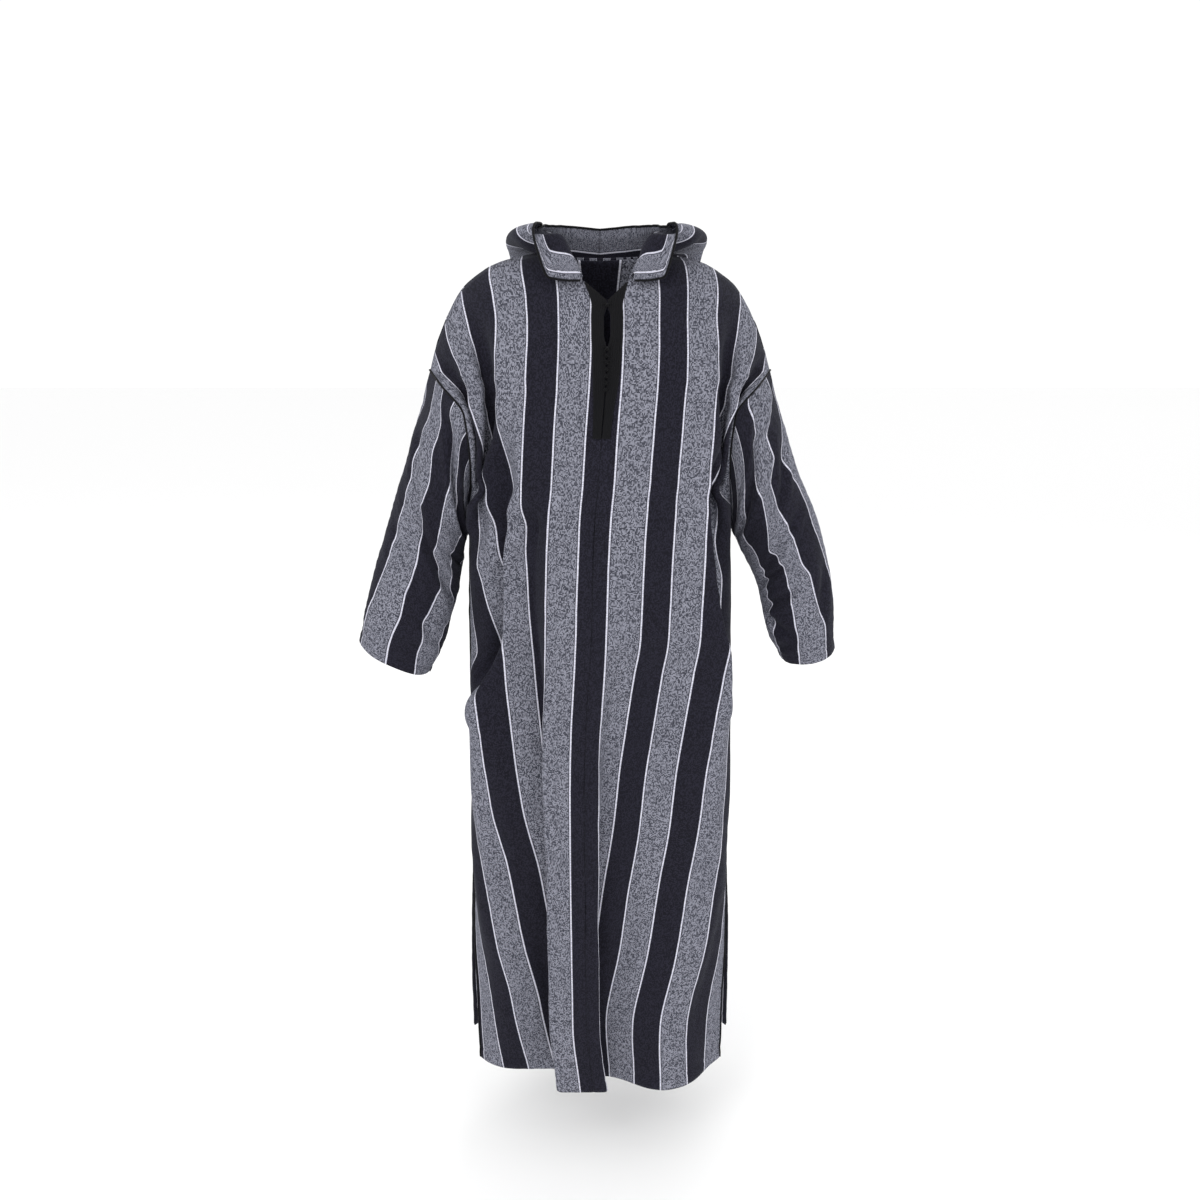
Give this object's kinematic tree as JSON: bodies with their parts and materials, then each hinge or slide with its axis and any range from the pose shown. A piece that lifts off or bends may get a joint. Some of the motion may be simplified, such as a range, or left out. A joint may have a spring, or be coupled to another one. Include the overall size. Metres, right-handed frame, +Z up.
{
  "type": "djellaba robe",
  "caption": "Long hooded djellaba robe in striped wool, hollow as worn, with wide sleeves, a braided neck slit, knotted buttons, side slits and a hood thrown back.",
  "frame": {"origin": "where the wearer's shoulders carry the robe: between the shoulder ridges, level with the base of the neck", "axes": "+Z up along the robe, the wearer would face -Y, the wearer's left arm is towards +X"},
  "size_m": [0.7402, 0.3459, 1.3801],
  "materials": {
    "striped_wool": "heathered wool, near-black and speckled grey stripes with white pinstripes",
    "black_braid": "flat braid and knotted cord, soft sheen",
    "black_piping": "twisted cord, soft sheen"
  },
  "bodies": {
    "root": {"front_right": "striped_wool", "front_left": "striped_wool", "back": "striped_wool", "sleeve_right": "striped_wool", "sleeve_left": "striped_wool", "hood_right": "striped_wool", "hood_left": "striped_wool", "neck_braid_right": "black_braid", "neck_braid_left": "black_braid", "button_1": "black_braid", "button_2": "black_braid", "button_3": "black_braid", "button_4": "black_braid", "button_5": "black_braid", "button_6": "black_braid", "button_7": "black_braid", "button_8": "black_braid", "armhole_piping_right": "black_piping", "armhole_piping_left": "black_piping", "hood_piping_right": "black_piping", "hood_piping_left": "black_piping", "side_piping_front_right": "black_piping", "side_piping_front_left": "black_piping", "side_piping_back_right": "black_piping", "side_piping_back_left": "black_piping"}
  },
  "joints": []
}
